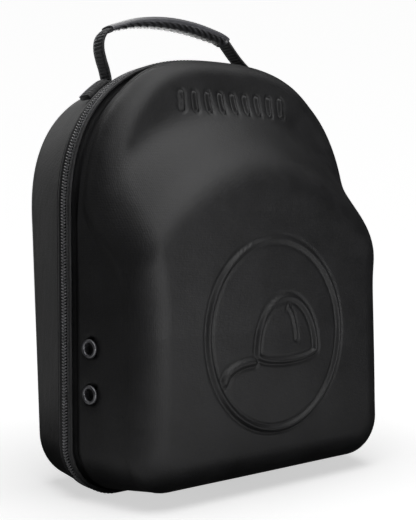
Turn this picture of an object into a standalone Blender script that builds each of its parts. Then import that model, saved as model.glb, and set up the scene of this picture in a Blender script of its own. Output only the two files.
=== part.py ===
"""Hard moulded hat carrier that stands on its bottom edge.

A deep lid with a step for the peak of a cap and a tub-shaped back meet at a zip plane.
The zip runs round the arched outline, a cloth hinge joins the shells underneath, two
pairs of eyelets pierce the lid's side walls and a webbing strap with a soft grip is
sewn on top. X is across the case, +Y towards its back and +Z up, in metres.
"""

import math

import bpy
import bmesh
import numpy as np

# Outline of the case at the zip plane
CASE_HEIGHT = 0.340
HALF_WIDTH = 0.1377
FOOT_HALF_WIDTH = 0.1403
ARCH_RISE = 0.1329
ARCH_POWER = 2.46
CORNER_RADIUS = 0.041
CORNER_TIGHTENING = 0.72

# Walls and clearances
WALL = 0.004
LIP_WALL = 0.003
SEAT = 0.0003

# Zip round the outline
ZIP_WIDTH = 0.0066
ZIP_PROUD = 0.0004
TAPE_THICKNESS = 0.0022
LID_TAPE = 0.0100
BACK_TAPE = 0.0062
TAPE_MARGIN = 0.0004
HINGE_HALF_LENGTH = 0.070

# Back shell
BACK_DEPTH = 0.0743
BACK_SLOPE = 0.080
BACK_STEP = 0.0019
BACK_FOOT_STEP = 0.0006
BACK_DRAFT = 0.122
BACK_FOOT_DRAFT = 0.035
BACK_ROUND = 0.015

# Lid: a shallow upper part for the peak and a deep lower part for the crown
PEAK_DEPTH = 0.0369
PEAK_SLOPE = 0.095
PEAK_LEVEL_DROP = 0.060
CROWN_DEPTH = 0.0831
CROWN_DOME = 0.0020
LID_STEP = 0.0042
STEP_RUN = 0.0006
LID_DRAFT = 0.28
LID_FOOT_DRAFT = 0.12
LID_ROUND = 0.024
ROUND_SHARE = 0.85
RAMP_DROP = 0.0691
RAMP_FALL = 0.1386
RAMP_HALF_WIDTH = 0.148
RAMP_POWER = 1.81
RAMP_LENGTH = 0.0744

# Raised relief on the lid
RELIEF_HEIGHT = 0.0012
RELIEF_ROOT = 0.0021
RELIEF_WIDTH = 0.0048
RING_HALF_WIDTH = 0.066
RING_HALF_HEIGHT = 0.073
RING_CENTRE_Z = 0.121
CAP_HALF_WIDTH = 0.030
CAP_HEIGHT = 0.042
CAP_PEAK_LENGTH = 0.027
RIB_COUNT = 9
RIB_PITCH = 0.0126
RIB_WIDTH = 0.0043
RIB_LENGTH = 0.0165
RIB_DROP = 0.0377

# Eyelets in the lid's side walls
EYELET_BORE = 0.0100
EYELET_FLANGE = 0.0148
EYELET_LIP = 0.0012
EYELET_NECK_WALL = 0.0008
EYELET_SETBACK = 0.0262
EYELET_LOW_Z = 0.082
EYELET_PITCH = 0.034

# Handle
STRAP_WIDTH = 0.0124
STRAP_THICKNESS = 0.0022
HANDLE_HALF_WIDTH = 0.0885
FOOT_LENGTH = 0.022
HANDLE_RISE = 0.0323
GRIP_WIDTH = 0.0208
GRIP_THICKNESS = 0.0092
GRIP_END_WIDTH = 0.0150
GRIP_LEFT_THICKNESS = 0.0056
GRIP_RIGHT_THICKNESS = 0.0088

# Zip slider, parked low on the right
SLIDER_Z = 0.062
SLIDER_LENGTH = 0.0120
SLIDER_WIDTH = 0.0096
SLIDER_THICKNESS = 0.0028
PULL_LENGTH = 0.026
PULL_WIDTH = 0.0062
PULL_THICKNESS = 0.0012

# Facets of the faceted surfaces
ARCH_STEPS = 13
SIDE_STEPS = 7
CORNER_STEPS = 5
BOTTOM_STEPS = 5
ROUND_STEPS = 4
LID_FACE_RINGS = (0.06, 0.13, 0.2, 0.27, 0.34, 0.41, 0.48, 0.57, 0.7, 0.85)
BACK_FACE_RINGS = (0.3, 0.65)
STRAP_STEPS = 52

# Values that follow from the sizes above
ARCH_SPRING_Z = CASE_HEIGHT - ARCH_RISE
MID_Z = CASE_HEIGHT / 2
SIDE_LEAN = math.atan((FOOT_HALF_WIDTH - HALF_WIDTH) / (ARCH_SPRING_Z - CORNER_RADIUS))
TAPE_START = ZIP_WIDTH / 2 + SEAT
LIP_DROP = TAPE_THICKNESS + SEAT
LID_LIP_END = TAPE_START + LID_TAPE + TAPE_MARGIN
BACK_LIP_END = TAPE_START + BACK_TAPE + TAPE_MARGIN

# The handle's loop from its left foot to its right foot: how far across, as a share of
# HANDLE_HALF_WIDTH, and how far above the case's top, as a share of HANDLE_RISE
HANDLE_LOOP = (
    (-0.985, -0.62),
    (-1.000, -0.34),
    (-1.030, -0.09),
    (-1.050, 0.155),
    (-1.045, 0.37),
    (-1.015, 0.53),
    (-0.955, 0.665),
    (-0.830, 0.785),
    (-0.680, 0.90),
    (-0.510, 0.97),
    (-0.340, 1.00),
    (-0.170, 0.99),
    (0.000, 0.945),
    (0.170, 0.865),
    (0.280, 0.80),
    (0.355, 0.72),
    (0.400, 0.60),
    (0.465, 0.41),
    (0.555, 0.185),
    (0.680, -0.045),
    (0.790, -0.215),
    (0.900, -0.40),
)
GRIP_FIRST_KNOT = 6
GRIP_LAST_KNOT = 15

# The grip's section: its outer points as angles in degrees, and the strap slot's
# corners and side points as shares of the slot's half width and half thickness
GRIP_SECTION = (
    (0.0, 1.0, 0.0),
    (32.0, 1.0, 1.0),
    (66.0, 0.4, 1.0),
    (114.0, -0.4, 1.0),
    (148.0, -1.0, 1.0),
    (180.0, -1.0, 0.0),
    (212.0, -1.0, -1.0),
    (246.0, -0.4, -1.0),
    (294.0, 0.4, -1.0),
    (328.0, 1.0, -1.0),
)
GRIP_SQUARENESS = 0.7


def new_material(name, colour, roughness, metallic=0.0):
    """A Principled material of one colour."""
    material = bpy.data.materials.new(name)
    material.use_nodes = True
    shader = material.node_tree.nodes["Principled BSDF"]
    shader.inputs["Base Color"].default_value = (*colour, 1.0)
    shader.inputs["Roughness"].default_value = roughness
    shader.inputs["Metallic"].default_value = metallic
    material.diffuse_color = (*colour, 1.0)
    return material


def new_object(name, mesh, material, collection):
    """Links a mesh as an object, shaded smooth with its sharp edges kept."""
    mesh.materials.append(material)
    mesh.shade_smooth()
    mesh.set_sharp_from_angle(angle=math.radians(35))
    piece = bpy.data.objects.new(name, mesh)
    collection.objects.link(piece)
    return piece


def mesh_from_bmesh(name, bm):
    """Turns a closed bmesh's faces outwards and returns it as a mesh."""
    bmesh.ops.recalc_face_normals(bm, faces=bm.faces)
    mesh = bpy.data.meshes.new(name)
    bm.to_mesh(mesh)
    bm.free()
    return mesh


def add_ring(bm, points):
    return [bm.verts.new(point) for point in points]


def bridge(bm, ring_a, ring_b, closed):
    """Fills the strip between two rings of as many points with quads."""
    count = len(ring_a)
    for i in range(count if closed else count - 1):
        j = (i + 1) % count
        bm.faces.new((ring_a[i], ring_a[j], ring_b[j], ring_b[i]))


def loft_sections(name, sections):
    """A closed solid through sections of as many corners, capped at both ends."""
    bm = bmesh.new()
    rings = [add_ring(bm, section) for section in sections]
    for ring_a, ring_b in zip(rings, rings[1:]):
        bridge(bm, ring_a, ring_b, closed=True)
    bm.faces.new(rings[0])
    bm.faces.new(rings[-1])
    return mesh_from_bmesh(name, bm)


def loft_loop(name, sections):
    """A closed ring through sections that run once round."""
    bm = bmesh.new()
    rings = [add_ring(bm, section) for section in sections]
    for ring_a, ring_b in zip(rings, rings[1:] + rings[:1]):
        bridge(bm, ring_a, ring_b, closed=True)
    return mesh_from_bmesh(name, bm)


def right_outline(side, foot, last_x):
    """The outline's right half as (x, z), from the top centre to last_x underneath.

    side and foot say how far inside the outline it lies on the arch and sides and
    above the floor. Each is a number, or holds one for each point of the half.
    """
    counts = (ARCH_STEPS + 1, SIDE_STEPS - 1, CORNER_STEPS + 1, BOTTOM_STEPS)
    cuts = np.cumsum(counts)[:-1]
    side = np.split(np.broadcast_to(side, sum(counts)), cuts)
    foot = np.split(np.broadcast_to(foot, sum(counts)), cuts)

    angles = np.linspace(math.pi / 2, 0, ARCH_STEPS + 1)
    across = np.clip(np.cos(angles), 0, 1) ** (2 / ARCH_POWER)
    above = np.sin(angles) ** (2 / ARCH_POWER)
    arch_x = (HALF_WIDTH - side[0]) * across
    arch_z = ARCH_SPRING_Z + (ARCH_RISE - side[0]) * above

    t = np.linspace(0, 1, SIDE_STEPS + 1)[1:-1]
    side_x = HALF_WIDTH + (FOOT_HALF_WIDTH - HALF_WIDTH) * t - side[1]
    side_z = ARCH_SPRING_Z + (corner_radius(side[1], foot[1]) + foot[1] - ARCH_SPRING_Z) * t

    angles = np.linspace(0, math.pi / 2, CORNER_STEPS + 1)
    radius = corner_radius(side[2], foot[2])
    corner_x = FOOT_HALF_WIDTH - side[2] - radius * (1 - np.cos(angles))
    corner_z = foot[2] + radius * (1 - np.sin(angles))

    t = np.linspace(0, 1, BOTTOM_STEPS + 1)[1:]
    first_x = FOOT_HALF_WIDTH - side[3] - corner_radius(side[3], foot[3])
    bottom_x = first_x + (last_x - first_x) * t
    xs = np.concatenate([arch_x, side_x, corner_x, bottom_x])
    zs = np.concatenate([arch_z, side_z, corner_z, foot[3]])
    return np.column_stack([xs, zs])


def corner_radius(side, foot):
    """Radius of the bottom corners of an outline that lies inside the case's own."""
    return CORNER_RADIUS - CORNER_TIGHTENING * (side + foot) / 2


def outline(side=0.0, foot=0.0, last_x=0.0):
    """Points of the whole outline, clockwise seen from the front, or one inside it.

    With last_x at 0 it is a closed loop that starts at the top. Otherwise it is open:
    it runs from last_x underneath on the left, over the top, to last_x on the right.
    """
    right = right_outline(side, foot, last_x)
    if last_x == 0.0:
        return np.vstack([right, right[-2:0:-1] * (-1, 1)])
    return np.vstack([right[:0:-1] * (-1, 1), right])


def at_depth(points, y):
    """Puts (x, z) points into space at y."""
    return np.column_stack([points[:, 0], np.broadcast_to(y, len(points)), points[:, 1]])


def back_depth(z):
    return BACK_DEPTH + BACK_SLOPE * (z - MID_Z)


def lid_depth(x, z):
    """Depth of the lid's face: the peak's level, rising down a soft arched ramp."""
    ramp_top = CASE_HEIGHT - RAMP_DROP
    across = np.clip(np.abs(x) / RAMP_HALF_WIDTH, 0, 1)
    arch = (1 - across**RAMP_POWER) ** (1 / RAMP_POWER)
    line = ramp_top - RAMP_FALL * (1 - arch)
    step = np.clip((line - z) / RAMP_LENGTH + 0.5, 0, 1)
    step = step * step * (3 - 2 * step)
    peak = PEAK_DEPTH - PEAK_SLOPE * (z - (CASE_HEIGHT - PEAK_LEVEL_DROP))
    near = (x / HALF_WIDTH) ** 2 + ((z - RING_CENTRE_Z) / RING_CENTRE_Z) ** 2
    crown = CROWN_DEPTH + CROWN_DOME * np.clip(1 - near, 0, 1)
    return peak + (crown - peak) * step


def lid_wall(y):
    """How far inside the outline the lid's side and foot walls lie at depth y."""
    run = y - LID_LIP_END - STEP_RUN
    return LID_STEP + LID_DRAFT * run, LID_STEP + LID_FOOT_DRAFT * run


def back_wall(y):
    """How far inside the outline the back shell's side and foot walls lie at depth y."""
    run = y - BACK_LIP_END - STEP_RUN
    return BACK_STEP + BACK_DRAFT * run, BACK_FOOT_STEP + BACK_FOOT_DRAFT * run


def shell_rings(wall, depth, lip_end, radius, face_rings, thickness):
    """Rings of one side of a shell, from its side wall over the rounded edge to its face.

    wall and depth give the outer surface, and thickness moves the rings inwards.
    Depths count from the zip plane. The last ring shrinks to the face's middle.
    """
    half = ARCH_STEPS + SIDE_STEPS + CORNER_STEPS + BOTTOM_STEPS + 1
    edge = depth(*outline(LIP_WALL + LIP_DROP, LIP_WALL + LIP_DROP)[:half].T)
    radius = np.minimum(radius, ROUND_SHARE * (edge - lip_end))

    def ring(y, inwards, lift):
        side, foot = wall(y)
        points = outline(side + inwards, foot + inwards)
        mirrored = np.concatenate([y, y[-2:0:-1]]) if lift is None else depth(*points.T) + lift
        return at_depth(points, mirrored)

    start = np.full(half, lip_end)
    rings = []
    for share in (0.0, 0.5):
        rings.append(ring(start + (edge - radius - lip_end) * share, thickness, None))
    for angle in np.linspace(0, math.pi / 2, ROUND_STEPS + 1):
        inwards = radius - (radius - thickness) * math.cos(angle)
        lift = (radius - thickness) * math.sin(angle) - radius
        lift = np.concatenate([lift, lift[-2:0:-1]])
        rings.append(ring(edge - radius, inwards, lift))
    rim = rings[-1][:, [0, 2]]
    middle = np.array([0.0, MID_Z])
    for share in face_rings:
        moved = rim + (middle - rim) * share
        rings.append(at_depth(moved, depth(*moved.T) - thickness))
    centre = (middle[0], depth(*middle) - thickness, middle[1])
    return rings, centre


def build_shell(name, wall, depth, lip_end, radius, face_rings, sense):
    """A shell: lip, step, side wall, rounded edge and face outside, and the same inside."""
    outer, outer_centre = shell_rings(wall, depth, lip_end, radius, face_rings, 0.0)
    inner, inner_centre = shell_rings(wall, depth, lip_end, radius, face_rings, WALL)
    lip_out = outline(LIP_DROP, LIP_DROP)
    lip_in = outline(LIP_DROP + LIP_WALL, LIP_DROP + LIP_WALL)
    rings = [*reversed(inner), at_depth(lip_in, SEAT)]
    rings += [at_depth(lip_out, SEAT), at_depth(lip_out, lip_end - STEP_RUN)]
    rings += outer
    turn = np.array([1.0, sense, 1.0])
    bm = bmesh.new()
    made = [add_ring(bm, ring * turn) for ring in rings]
    for ring_a, ring_b in zip(made, made[1:]):
        bridge(bm, ring_a, ring_b, closed=True)
    for ring, centre in ((made[0], inner_centre), (made[-1], outer_centre)):
        pole = bm.verts.new(np.array(centre) * turn)
        for i in range(len(ring)):
            bm.faces.new((ring[i], ring[(i + 1) % len(ring)], pole))
    bmesh.ops.triangulate(bm, faces=bm.faces)
    return mesh_from_bmesh(name, bm)


def build_band(name, y_range, proud):
    """A flat band along the outline, open over the cloth hinge and flush underneath."""
    last_x = HINGE_HALF_LENGTH + SEAT
    y0, y1 = y_range
    outer = outline(-proud, 0.0, last_x)
    inner = outline(TAPE_THICKNESS, TAPE_THICKNESS, last_x)
    corners = [at_depth(outer, y0), at_depth(outer, y1), at_depth(inner, y1), at_depth(inner, y0)]
    return loft_sections(name, np.stack(corners, axis=1))


def build_box(name, low, high, bevel=0.0):
    """A box between two corners, with its edges bevelled if a width is given."""
    bm = bmesh.new()
    bmesh.ops.create_cube(bm, size=1.0)
    low, high = np.array(low), np.array(high)
    bmesh.ops.scale(bm, vec=high - low, verts=bm.verts)
    bmesh.ops.translate(bm, vec=(low + high) / 2, verts=bm.verts)
    if bevel:
        bmesh.ops.bevel(bm, geom=bm.edges, offset=bevel, segments=1, affect="EDGES")
    return mesh_from_bmesh(name, bm)


def relief_stroke(name, path, width, closed):
    """A raised stroke on the lid along (x, z) points, rooted in the lid's wall."""
    path = np.array(path)
    if closed:
        ahead = np.roll(path, -1, axis=0) - np.roll(path, 1, axis=0)
    else:
        ahead = np.gradient(path, axis=0)
    side = np.column_stack([-ahead[:, 1], ahead[:, 0]])
    side *= width / 2 / np.linalg.norm(side, axis=1)[:, None]
    corners = []
    for edge, lift in ((-1, -RELIEF_ROOT), (1, -RELIEF_ROOT), (1, RELIEF_HEIGHT), (-1, RELIEF_HEIGHT)):
        moved = path + side * edge
        corners.append(at_depth(moved, -(lid_depth(*moved.T) + lift)))
    sections = np.stack(corners, axis=1)
    return loft_loop(name, sections) if closed else loft_sections(name, sections)


def arc(centre, half_width, half_height, first, last, steps):
    """Points of an elliptic arc between two angles in degrees."""
    angles = np.radians(np.linspace(first, last, steps + 1))
    return np.column_stack([centre[0] + half_width * np.cos(angles), centre[1] + half_height * np.sin(angles)])


def relief_strokes():
    """The lid's plain relief: a row of ribs, and a cap seen from its side in an oval ring."""
    ring = arc((0, RING_CENTRE_Z), RING_HALF_WIDTH, RING_HALF_HEIGHT, 4, 364, 40)[:-1]
    strokes = [relief_stroke("ring_stroke", ring, RELIEF_WIDTH, True)]
    base = (CAP_HALF_WIDTH / 3, RING_CENTRE_Z - CAP_HEIGHT / 3)
    dome = arc(base, CAP_HALF_WIDTH, CAP_HEIGHT, 0, 180, 14)
    brow = arc(base, CAP_HALF_WIDTH, CAP_HEIGHT / 6, 180, 360, 6)[1:-1]
    strokes.append(relief_stroke("dome_stroke", np.vstack([dome, brow]), RELIEF_WIDTH, True))
    hinge = (base[0] - CAP_HALF_WIDTH - RELIEF_WIDTH * 0.9, base[1] - CAP_HEIGHT / 3 - RELIEF_WIDTH)
    peak = arc(hinge, CAP_PEAK_LENGTH, CAP_HEIGHT / 3, 88, 176, 7)
    strokes.append(relief_stroke("peak_stroke", peak, RELIEF_WIDTH * 1.4, False))
    seam = arc(base, CAP_HALF_WIDTH / 3, CAP_HEIGHT - RELIEF_WIDTH * 1.5, 15, 82, 6)
    strokes.append(relief_stroke("seam_stroke", seam, RELIEF_WIDTH / 2, False))
    for i in range(RIB_COUNT):
        x = (i - (RIB_COUNT - 1) / 2) * RIB_PITCH
        z = CASE_HEIGHT - RIB_DROP
        rib = ((x, z - RIB_LENGTH / 2), (x, z + RIB_LENGTH / 2))
        strokes.append(relief_stroke(f"rib_stroke_{i}", rib, RIB_WIDTH, False))
    return strokes


def turned(name, profile, material, collection, steps):
    """A solid turned about its own Z axis from (radius, height) points."""
    mesh = bpy.data.meshes.new(name)
    points = [(radius, 0.0, height) for radius, height in profile]
    edges = [(i, (i + 1) % len(points)) for i in range(len(points))]
    mesh.from_pydata(points, edges, [])
    piece = new_object(name, mesh, material, collection)
    screw = piece.modifiers.new("turn", "SCREW")
    screw.steps = steps
    screw.render_steps = steps
    screw.use_merge_vertices = True
    screw.merge_threshold = 0.00001
    return piece


def side_half_width(z):
    """Half the width of the case at a height on its straight sides."""
    return np.interp(z, [CORNER_RADIUS, ARCH_SPRING_Z], [FOOT_HALF_WIDTH, HALF_WIDTH])


def place_in_wall(piece, side, z):
    """Turns a piece's own Z axis along the lid's side wall normal and seats it there."""
    slope = math.atan(LID_DRAFT)
    wall = LID_STEP + LID_DRAFT * (EYELET_SETBACK - LID_LIP_END - STEP_RUN)
    piece.location = (side * (side_half_width(z) - wall), -EYELET_SETBACK, z)
    piece.rotation_euler = (0, side * (math.pi / 2 - SIDE_LEAN), -side * slope)
    return piece


def eyelet_profile():
    """A flanged tube through the wall, with a washer lip inside it."""
    bore = EYELET_BORE / 2
    neck = bore + EYELET_NECK_WALL
    flange = EYELET_FLANGE / 2
    inside = -WALL - SEAT
    return (
        (bore, EYELET_LIP * 0.6),
        (bore + EYELET_LIP * 0.5, EYELET_LIP + SEAT),
        (flange - EYELET_LIP * 0.6, EYELET_LIP * 0.8 + SEAT),
        (flange, SEAT),
        (neck, SEAT),
        (neck, inside),
        (flange - EYELET_LIP, inside),
        (flange - EYELET_LIP, inside - EYELET_LIP * 0.6),
        (bore, inside - EYELET_LIP * 0.6),
    )


def eyelet_places():
    """Name, side and height of each eyelet."""
    for side, side_name in ((-1, "left"), (1, "right")):
        for level, level_name in ((0, "low"), (1, "high")):
            yield f"eyelet_{side_name}_{level_name}", side, EYELET_LOW_Z + level * EYELET_PITCH


def smooth_points(knots, steps):
    """A centripetal Catmull-Rom curve through knots, sampled evenly along its length."""
    knots = np.array(knots)
    before = 2 * knots[0] - knots[1]
    after = 2 * knots[-1] - knots[-2]
    p = np.vstack([before, knots, after])
    t = np.concatenate([[0], np.cumsum(np.linalg.norm(np.diff(p, axis=0), axis=1) ** 0.5)])
    fine = []
    for i in range(1, len(p) - 2):
        u = np.linspace(t[i], t[i + 1], 9)[:-1, None]
        a1 = (t[i] - u) / (t[i] - t[i - 1]) * p[i - 1] + (u - t[i - 1]) / (t[i] - t[i - 1]) * p[i]
        a2 = (t[i + 1] - u) / (t[i + 1] - t[i]) * p[i] + (u - t[i]) / (t[i + 1] - t[i]) * p[i + 1]
        a3 = (t[i + 2] - u) / (t[i + 2] - t[i + 1]) * p[i + 1]
        a3 = a3 + (u - t[i + 1]) / (t[i + 2] - t[i + 1]) * p[i + 2]
        b1 = (t[i + 1] - u) / (t[i + 1] - t[i - 1]) * a1 + (u - t[i - 1]) / (t[i + 1] - t[i - 1]) * a2
        b2 = (t[i + 2] - u) / (t[i + 2] - t[i]) * a2 + (u - t[i]) / (t[i + 2] - t[i]) * a3
        fine.append((t[i + 1] - u) / (t[i + 1] - t[i]) * b1 + (u - t[i]) / (t[i + 1] - t[i]) * b2)
    fine = np.vstack([*fine, p[-2]])
    run = np.concatenate([[0], np.cumsum(np.linalg.norm(np.diff(fine, axis=0), axis=1))])
    at = np.linspace(0, run[-1], steps + 1)
    return np.column_stack([np.interp(at, run, fine[:, 0]), np.interp(at, run, fine[:, 1])])


def arch_z(x):
    """Height of the outline's arch above x."""
    share = np.clip(np.abs(x) / HALF_WIDTH, 0, 1)
    return ARCH_SPRING_Z + ARCH_RISE * (1 - share**ARCH_POWER) ** (1 / ARCH_POWER)


def strap_middle_y():
    return BACK_LIP_END + STEP_RUN + STRAP_WIDTH / 2


def foot_knots(side):
    """Points of a strap foot on the back shell's arch, from its bend to its outer end."""
    x = side * (HANDLE_HALF_WIDTH + FOOT_LENGTH * np.array([0.06, 0.30, 0.55, 0.78]))
    slope = (arch_z(x + 0.001) - arch_z(x - 0.001)) / 0.002
    normals = np.column_stack([-slope, np.ones(len(x))])
    normals /= np.linalg.norm(normals, axis=1)[:, None]
    drop = BACK_STEP + BACK_DRAFT * (strap_middle_y() - BACK_LIP_END - STEP_RUN)
    drop -= BACK_DRAFT * STRAP_WIDTH / 2 + SEAT * 2 + STRAP_THICKNESS / 2
    return np.column_stack([x, arch_z(x)]) - normals * drop


def handle_path(steps):
    """The strap's middle line (x, z), from its left foot's end to its right foot's end."""
    loop = np.array(HANDLE_LOOP) * (HANDLE_HALF_WIDTH, HANDLE_RISE) + (0, CASE_HEIGHT)
    return smooth_points(np.vstack([foot_knots(-1)[::-1], loop, foot_knots(1)]), steps)


def path_sides(path):
    ahead = np.gradient(path, axis=0)
    normals = np.column_stack([-ahead[:, 1], ahead[:, 0]])
    return normals / np.linalg.norm(normals, axis=1)[:, None]


def build_strap():
    """Flat webbing that follows the handle's path."""
    path = handle_path(STRAP_STEPS)
    lift = path_sides(path) * STRAP_THICKNESS / 2
    y = strap_middle_y()
    near, far = y - STRAP_WIDTH / 2, y + STRAP_WIDTH / 2
    corners = [at_depth(path + lift, near), at_depth(path + lift, far)]
    corners += [at_depth(path - lift, far), at_depth(path - lift, near)]
    return loft_sections("handle_strap", np.stack(corners, axis=1))


def grip_path():
    """The stations of the strap's path that the grip covers, and their normals."""
    path = handle_path(STRAP_STEPS)
    ends = []
    for knot in (GRIP_FIRST_KNOT, GRIP_LAST_KNOT):
        point = np.array(HANDLE_LOOP[knot]) * (HANDLE_HALF_WIDTH, HANDLE_RISE) + (0, CASE_HEIGHT)
        ends.append(int(np.argmin(np.linalg.norm(path - point, axis=1))))
    covered = slice(ends[0], ends[1] + 1)
    return path[covered], path_sides(path)[covered]


def build_grip():
    """A soft grip round the strap: thick and wide in its middle, with a slot right through."""
    path, lift = grip_path()
    t = np.linspace(0, 1, len(path))
    swell = 4 * t * (1 - t)
    width = GRIP_END_WIDTH + (GRIP_WIDTH - GRIP_END_WIDTH) * swell**0.7
    ends = GRIP_LEFT_THICKNESS + (GRIP_RIGHT_THICKNESS - GRIP_LEFT_THICKNESS) * t
    thickness = ends + (GRIP_THICKNESS - (GRIP_LEFT_THICKNESS + GRIP_RIGHT_THICKNESS) / 2) * swell
    slot = (STRAP_WIDTH / 2 + SEAT, STRAP_THICKNESS / 2 + SEAT)
    bm = bmesh.new()
    outer, inner = [], []
    for i in range(len(path)):
        loops = ([], [])
        for angle, across, up in GRIP_SECTION:
            c, s = math.cos(math.radians(angle)), math.sin(math.radians(angle))
            wide = math.copysign(abs(c) ** GRIP_SQUARENESS, c) * width[i] / 2
            high = math.copysign(abs(s) ** GRIP_SQUARENESS, s) * thickness[i] / 2
            for loop, w, h in ((loops[0], wide, high), (loops[1], across * slot[0], up * slot[1])):
                x, z = path[i] + lift[i] * h
                loop.append((x, strap_middle_y() + w, z))
        outer.append(add_ring(bm, loops[0]))
        inner.append(add_ring(bm, loops[1]))
    for rings in (outer, inner):
        for ring_a, ring_b in zip(rings, rings[1:]):
            bridge(bm, ring_a, ring_b, closed=True)
    for end in (0, -1):
        bridge(bm, outer[end], inner[end], closed=True)
    return mesh_from_bmesh("handle_grip", bm)


def place_on_zip(piece, z):
    """Lays a piece's own YZ plane on the zip's right side at a height."""
    piece.location = (side_half_width(z) + ZIP_PROUD + SEAT, 0.0, z)
    piece.rotation_euler = (0, -SIDE_LEAN, 0)
    return piece


def build_slider(material, parts, cutters):
    """The zip's slider with its pull hanging down, as one plain piece."""
    body = build_box(
        "zip_slider",
        (0.0, -SLIDER_WIDTH / 2, -SLIDER_LENGTH / 2),
        (SLIDER_THICKNESS, SLIDER_WIDTH / 2, SLIDER_LENGTH / 2),
        bevel=SLIDER_THICKNESS / 4,
    )
    slider = place_on_zip(new_object("zip_slider", body, material, parts), SLIDER_Z)
    root = SLIDER_THICKNESS - PULL_THICKNESS / 2
    pull = build_box(
        "slider_pull",
        (root, -PULL_WIDTH / 2, -PULL_LENGTH),
        (root + PULL_THICKNESS, PULL_WIDTH / 2, SLIDER_LENGTH / 4),
    )
    cutter = place_on_zip(new_cutter("slider_pull", pull, cutters), SLIDER_Z)
    add_boolean(slider, cutter, "UNION")


def new_cutter(name, mesh, cutters):
    """An unseen object that only cuts or joins."""
    cutter = bpy.data.objects.new(name, mesh)
    cutters.objects.link(cutter)
    cutter.hide_render = True
    cutter.display_type = "WIRE"
    return cutter


def add_boolean(target, tool, operation):
    boolean = target.modifiers.new(tool.name, "BOOLEAN")
    boolean.operation = operation
    boolean.solver = "EXACT"
    boolean.object = tool


def build_lid(material, parts, cutters):
    """The lid with its raised relief and its four eyelet holes."""
    lip_end = LID_LIP_END + STEP_RUN
    mesh = build_shell("lid_shell", lid_wall, lid_depth, lip_end, LID_ROUND, LID_FACE_RINGS, -1)
    lid = new_object("lid_shell", mesh, material, parts)
    for stroke in relief_strokes():
        add_boolean(lid, new_cutter(stroke.name, stroke, cutters), "UNION")
    hole = EYELET_BORE / 2 + EYELET_NECK_WALL + SEAT
    for name, side, z in eyelet_places():
        bm = bmesh.new()
        bmesh.ops.create_cone(
            bm, cap_ends=True, segments=16, radius1=hole, radius2=hole, depth=WALL * 6
        )
        drill = new_cutter(f"{name}_hole", mesh_from_bmesh(f"{name}_hole", bm), cutters)
        place_in_wall(drill, side, z)
        add_boolean(lid, drill, "DIFFERENCE")


def build_back(material, parts):
    """The back shell, a plain tub."""

    def depth(x, z):
        return back_depth(z)

    lip_end = BACK_LIP_END + STEP_RUN
    mesh = build_shell("back_shell", back_wall, depth, lip_end, BACK_ROUND, BACK_FACE_RINGS, 1)
    new_object("back_shell", mesh, material, parts)


def case_middle_y():
    """Y of the zip plane that puts the middle of the case's depth over the origin."""
    back = back_depth(CASE_HEIGHT - BACK_ROUND)
    front = CROWN_DEPTH + CROWN_DOME + RELIEF_HEIGHT
    return (front - back) / 2


def main():
    for old in list(bpy.data.objects):
        bpy.data.objects.remove(old)
    parts = bpy.data.collections.new("hat_carrier")
    cutters = bpy.data.collections.new("cutters")
    for collection in (parts, cutters):
        bpy.context.scene.collection.children.link(collection)

    cloth = new_material("shell_cloth", (0.022, 0.022, 0.024), 0.75)
    tape = new_material("zip_tape", (0.030, 0.030, 0.032), 0.85)
    coil = new_material("zip_coil", (0.035, 0.035, 0.038), 0.40)
    webbing = new_material("strap_webbing", (0.020, 0.020, 0.021), 0.80)
    rubber = new_material("grip_rubber", (0.030, 0.030, 0.032), 0.55)
    enamel = new_material("eyelet_enamel", (0.040, 0.040, 0.044), 0.25, 0.6)

    build_back(cloth, parts)
    build_lid(cloth, parts, cutters)

    lid_tape = (-TAPE_START - LID_TAPE, -TAPE_START)
    back_tape = (TAPE_START, TAPE_START + BACK_TAPE)
    zip_range = (-ZIP_WIDTH / 2, ZIP_WIDTH / 2)
    new_object("zip_tape_lid", build_band("zip_tape_lid", lid_tape, 0.0), tape, parts)
    new_object("zip_tape_back", build_band("zip_tape_back", back_tape, 0.0), tape, parts)
    new_object("zip_coil", build_band("zip_coil", zip_range, ZIP_PROUD), coil, parts)
    hinge = build_box(
        "hinge_strip",
        (-HINGE_HALF_LENGTH, lid_tape[0], 0.0),
        (HINGE_HALF_LENGTH, back_tape[1], TAPE_THICKNESS),
    )
    new_object("hinge_strip", hinge, tape, parts)
    build_slider(coil, parts, cutters)

    for name, side, z in eyelet_places():
        place_in_wall(turned(name, eyelet_profile(), enamel, parts, 16), side, z)

    new_object("handle_strap", build_strap(), webbing, parts)
    new_object("handle_grip", build_grip(), rubber, parts)

    origin = bpy.data.objects.new("case_origin", None)
    parts.objects.link(origin)
    origin.location = (0.0, case_middle_y(), 0.0)
    for piece in [*parts.objects, *cutters.objects]:
        if piece is not origin:
            piece.parent = origin


main()
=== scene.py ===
"""Looks of the hat carrier: cloth shells, zip, eyelets, webbing handle, light and camera."""

import math

import bpy
import numpy as np
from mathutils import Matrix, Vector


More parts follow.
